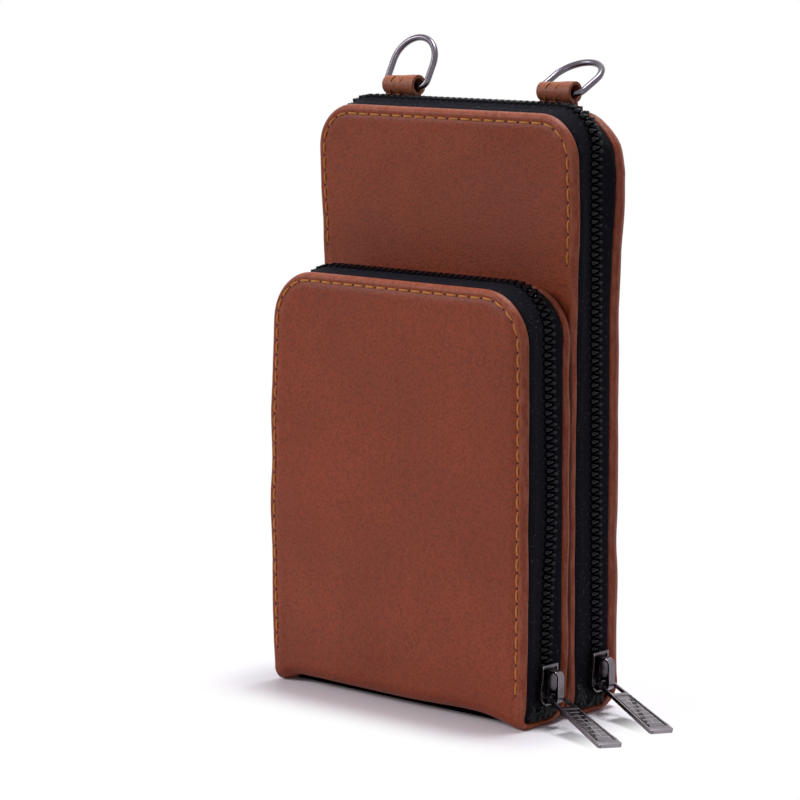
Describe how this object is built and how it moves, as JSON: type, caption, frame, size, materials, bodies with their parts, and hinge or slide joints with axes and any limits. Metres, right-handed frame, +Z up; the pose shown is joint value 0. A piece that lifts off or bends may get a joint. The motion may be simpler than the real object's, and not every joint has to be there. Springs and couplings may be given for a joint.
{
  "type": "shoulder bag",
  "caption": "Slim upright shoulder bag of a short zipped leather pouch sewn to the front of a taller one, with D-rings on leather loops for a strap.",
  "frame": {"origin": "middle of the tall pouch's flat underside, on the surface that the bag stands on", "axes": "+Z up, +X to the right as seen from the front, towards the zip sliders, -Y to the front, where the short pouch is"},
  "size_m": [0.1398, 0.0574, 0.2064],
  "materials": {
    "leather": "brown coated leather, fine soft grain, satin",
    "board": "plain grey-brown stiffener board",
    "lining": "black woven lining cloth",
    "thread": "ochre twisted sewing thread",
    "tape": "black woven zip tape",
    "teeth": "black moulded zip teeth, slight sheen",
    "metal": "dark nickel plating, polished, worn bright at the edges"
  },
  "bodies": {
    "middle": {"short_back_leather": "leather", "short_back_board": "board", "short_back_lining": "lining", "short_back_thread": "thread", "short_back_tape": "tape", "short_back_teeth": "teeth", "short_spine": "leather", "tall_front_leather": "leather", "tall_front_board": "board", "tall_front_lining": "lining", "tall_front_thread": "thread", "tall_front_tape": "tape", "tall_front_teeth": "teeth", "tall_spine": "leather"},
    "front_cover": {"short_front_leather": "leather", "short_front_board": "board", "short_front_lining": "lining", "short_front_thread": "thread", "short_front_tape": "tape", "short_front_teeth": "teeth"},
    "rear_cover": {"tall_back_leather": "leather", "tall_back_board": "board", "tall_back_lining": "lining", "tall_back_thread": "thread", "tall_back_tape": "tape", "tall_back_teeth": "teeth", "left_loop": "leather", "right_loop": "leather"},
    "front_slider": {"short_slider_body": "metal", "short_slider_cap": "metal"},
    "rear_slider": {"tall_slider_body": "metal", "tall_slider_cap": "metal"},
    "front_tab": {"short_pull_tab": "metal"},
    "rear_tab": {"tall_pull_tab": "metal"},
    "ring_left": {"left_ring": "metal"},
    "ring_right": {"right_ring": "metal"}
  },
  "joints": [
    {"name": "front_cover_fold", "type": "hinge", "parent": "middle", "child": "front_cover", "pos_m": [0, -0.0334, 0.0045], "axis": [1, 0, 0], "range_deg": [0, 90], "deforming": ["short_front_teeth", "short_back_teeth"]},
    {"name": "rear_cover_fold", "type": "hinge", "parent": "middle", "child": "rear_cover", "pos_m": [0, 0.00975, 0.009], "axis": [-1, 0, 0], "range_deg": [0, 90], "deforming": ["tall_front_teeth", "tall_back_teeth"]},
    {"name": "front_slider_run", "type": "slide", "parent": "middle", "child": "front_slider", "axis": [0, 0.0082, 1], "range_m": [0, 0.097], "deforming": ["short_front_teeth", "short_back_teeth"]},
    {"name": "rear_slider_run", "type": "slide", "parent": "middle", "child": "rear_slider", "axis": [0, -0.0114, 0.9999], "range_m": [0, 0.151], "deforming": ["tall_front_teeth", "tall_back_teeth"]},
    {"name": "front_tab_swing", "type": "hinge", "parent": "front_slider", "child": "front_tab", "pos_m": [0.0553, -0.02227, 0.0093], "axis": [0, -1, 0.0082], "range_deg": [-72, 45]},
    {"name": "rear_tab_swing", "type": "hinge", "parent": "rear_slider", "child": "rear_tab", "pos_m": [0.0558, 0.00174, 0.0093], "axis": [0, -0.9999, -0.0114], "range_deg": [-72, 45]},
    {"name": "left_ring_swing", "type": "hinge", "parent": "rear_cover", "child": "ring_left", "pos_m": [-0.0322, 0.006, 0.1905], "axis": [-1, 0, 0], "range_deg": [-120, 85]},
    {"name": "right_ring_swing", "type": "hinge", "parent": "rear_cover", "child": "ring_right", "pos_m": [0.0322, 0.006, 0.1905], "axis": [-1, 0, 0], "range_deg": [-154, 51]}
  ]
}
